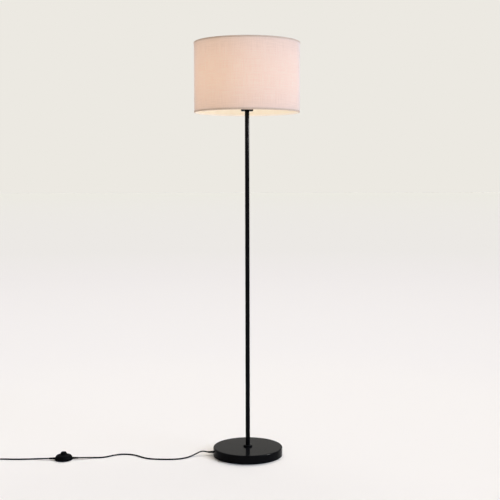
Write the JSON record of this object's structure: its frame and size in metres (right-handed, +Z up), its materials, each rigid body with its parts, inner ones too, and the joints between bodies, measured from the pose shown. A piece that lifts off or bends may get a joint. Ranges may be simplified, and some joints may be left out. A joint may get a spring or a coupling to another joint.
{
  "type": "column floor lamp",
  "caption": "Floor lamp: round weighted base, slim straight pole, drum shade on a wire spider round a screw-in bulb, mains cord with foot switch and flat plug.",
  "frame": {"origin": "centre of the base's underside, on the floor", "axes": "+Z up the pole; the mains cord leaves the base towards -X"},
  "size_m": [1.1849, 0.3812, 1.5],
  "materials": {
    "powder_coated_steel": "satin black powder coat",
    "cast_iron": "as cast, lacquered",
    "zinc_steel": "zinc plated",
    "black_foam_rubber": "matt foam rubber",
    "black_rubber": "moulded soft PVC",
    "black_cord": "extruded soft PVC",
    "black_moulding": "moulded thermoset",
    "holder_block": "glazed ceramic",
    "brass_sheet": "nickelled brass",
    "linen": "plain weave linen, lit from inside",
    "white_film": "translucent film",
    "white_wire": "white epoxy coat",
    "linen_tape": "folded linen tape",
    "opal_diffuser": "opal polycarbonate",
    "white_moulding": "moulded",
    "cap_metal": "nickel plated, rolled thread",
    "black_glass": "fused insulator",
    "solder": "solder tip",
    "circuit_board": "white solder mask",
    "led_phosphor": "silicone lens",
    "black_abs": "fine spark texture",
    "spring_steel": "oiled wire",
    "plug_pvc": "moulded PVC",
    "plug_pin_metal": "nickel plated"
  },
  "bodies": {
    "lamp": {"base_cover": "powder_coated_steel", "base_weight": "cast_iron", "bottom_plate": "zinc_steel", "bottom_plate_screws": "zinc_steel", "base_pad": "black_foam_rubber", "base_nut": "zinc_steel", "base_washers": "zinc_steel", "pole_collar": "powder_coated_steel", "base_strain_relief": "black_rubber", "cord_stop": "black_moulding", "pole_lower": "powder_coated_steel", "pole_middle": "powder_coated_steel", "pole_upper": "powder_coated_steel", "pole_inserts": "zinc_steel", "pole_nipples": "zinc_steel", "inner_cable": "black_cord", "socket_cup": "powder_coated_steel", "cup_nut": "zinc_steel", "lampholder_cap": "black_moulding", "lampholder_shell": "black_moulding", "lampholder_insert": "holder_block", "lampholder_sleeve": "brass_sheet", "lampholder_contacts": "brass_sheet", "terminal_screws": "zinc_steel", "shade_clamp_ring": "black_moulding", "cord_base_to_switch": "black_cord", "cord_switch_to_coil": "black_cord", "cord_coil": "black_cord", "switch_cover": "black_abs", "switch_base": "black_abs", "switch_screws": "zinc_steel", "switch_pad": "black_foam_rubber", "switch_spring": "spring_steel", "switch_mechanism": "white_moulding", "switch_terminals": "brass_sheet", "switch_contacts": "brass_sheet", "switch_strain_reliefs": "black_rubber", "switch_cord_tails": "black_cord", "plug_body": "plug_pvc", "plug_pins": "plug_pin_metal", "plug_pin_sleeves": "plug_pvc", "plug_strain_relief": "black_rubber", "plug_cord_tail": "black_cord"},
    "shade": {"shade_fabric": "linen", "shade_liner": "white_film", "shade_top_wire": "white_wire", "shade_bottom_wire": "white_wire", "shade_top_hem": "linen_tape", "shade_bottom_hem": "linen_tape", "spider_arms": "white_wire", "fitter_ring": "white_wire"},
    "bulb_tip": {"bulb_tip": "solder"},
    "bulb": {"bulb_insulator": "black_glass", "bulb_screw_cap": "cap_metal", "bulb_housing": "white_moulding", "bulb_globe": "opal_diffuser", "led_board": "circuit_board", "led_chips": "led_phosphor", "driver_board": "circuit_board"},
    "switch_button": {"switch_button": "black_abs"}
  },
  "joints": [
    {"name": "shade_turn", "type": "hinge", "parent": "lamp", "child": "shade", "pos_m": [0, 0, 1.292], "axis": [0, 0, 1], "continuous": true},
    {"name": "bulb_rise", "type": "slide", "parent": "lamp", "child": "bulb_tip", "axis": [0, 0, 1], "range_m": [0, 0.0128]},
    {"name": "bulb_turn", "type": "hinge", "parent": "bulb_tip", "child": "bulb", "pos_m": [0, 0, 1.3], "axis": [0, 0, 1], "range_deg": [0, 1260]},
    {"name": "button_press", "type": "slide", "parent": "lamp", "child": "switch_button", "axis": [0, 0, -1], "range_m": [0, 0.0035], "stiffness_N_per_m": 600, "springref_m": -0.002, "deforming": ["switch_spring"]}
  ],
  "couplings": [
    {"joint": "bulb_rise", "follows": "bulb_turn", "m_per_rad": 0.00057757}
  ]
}
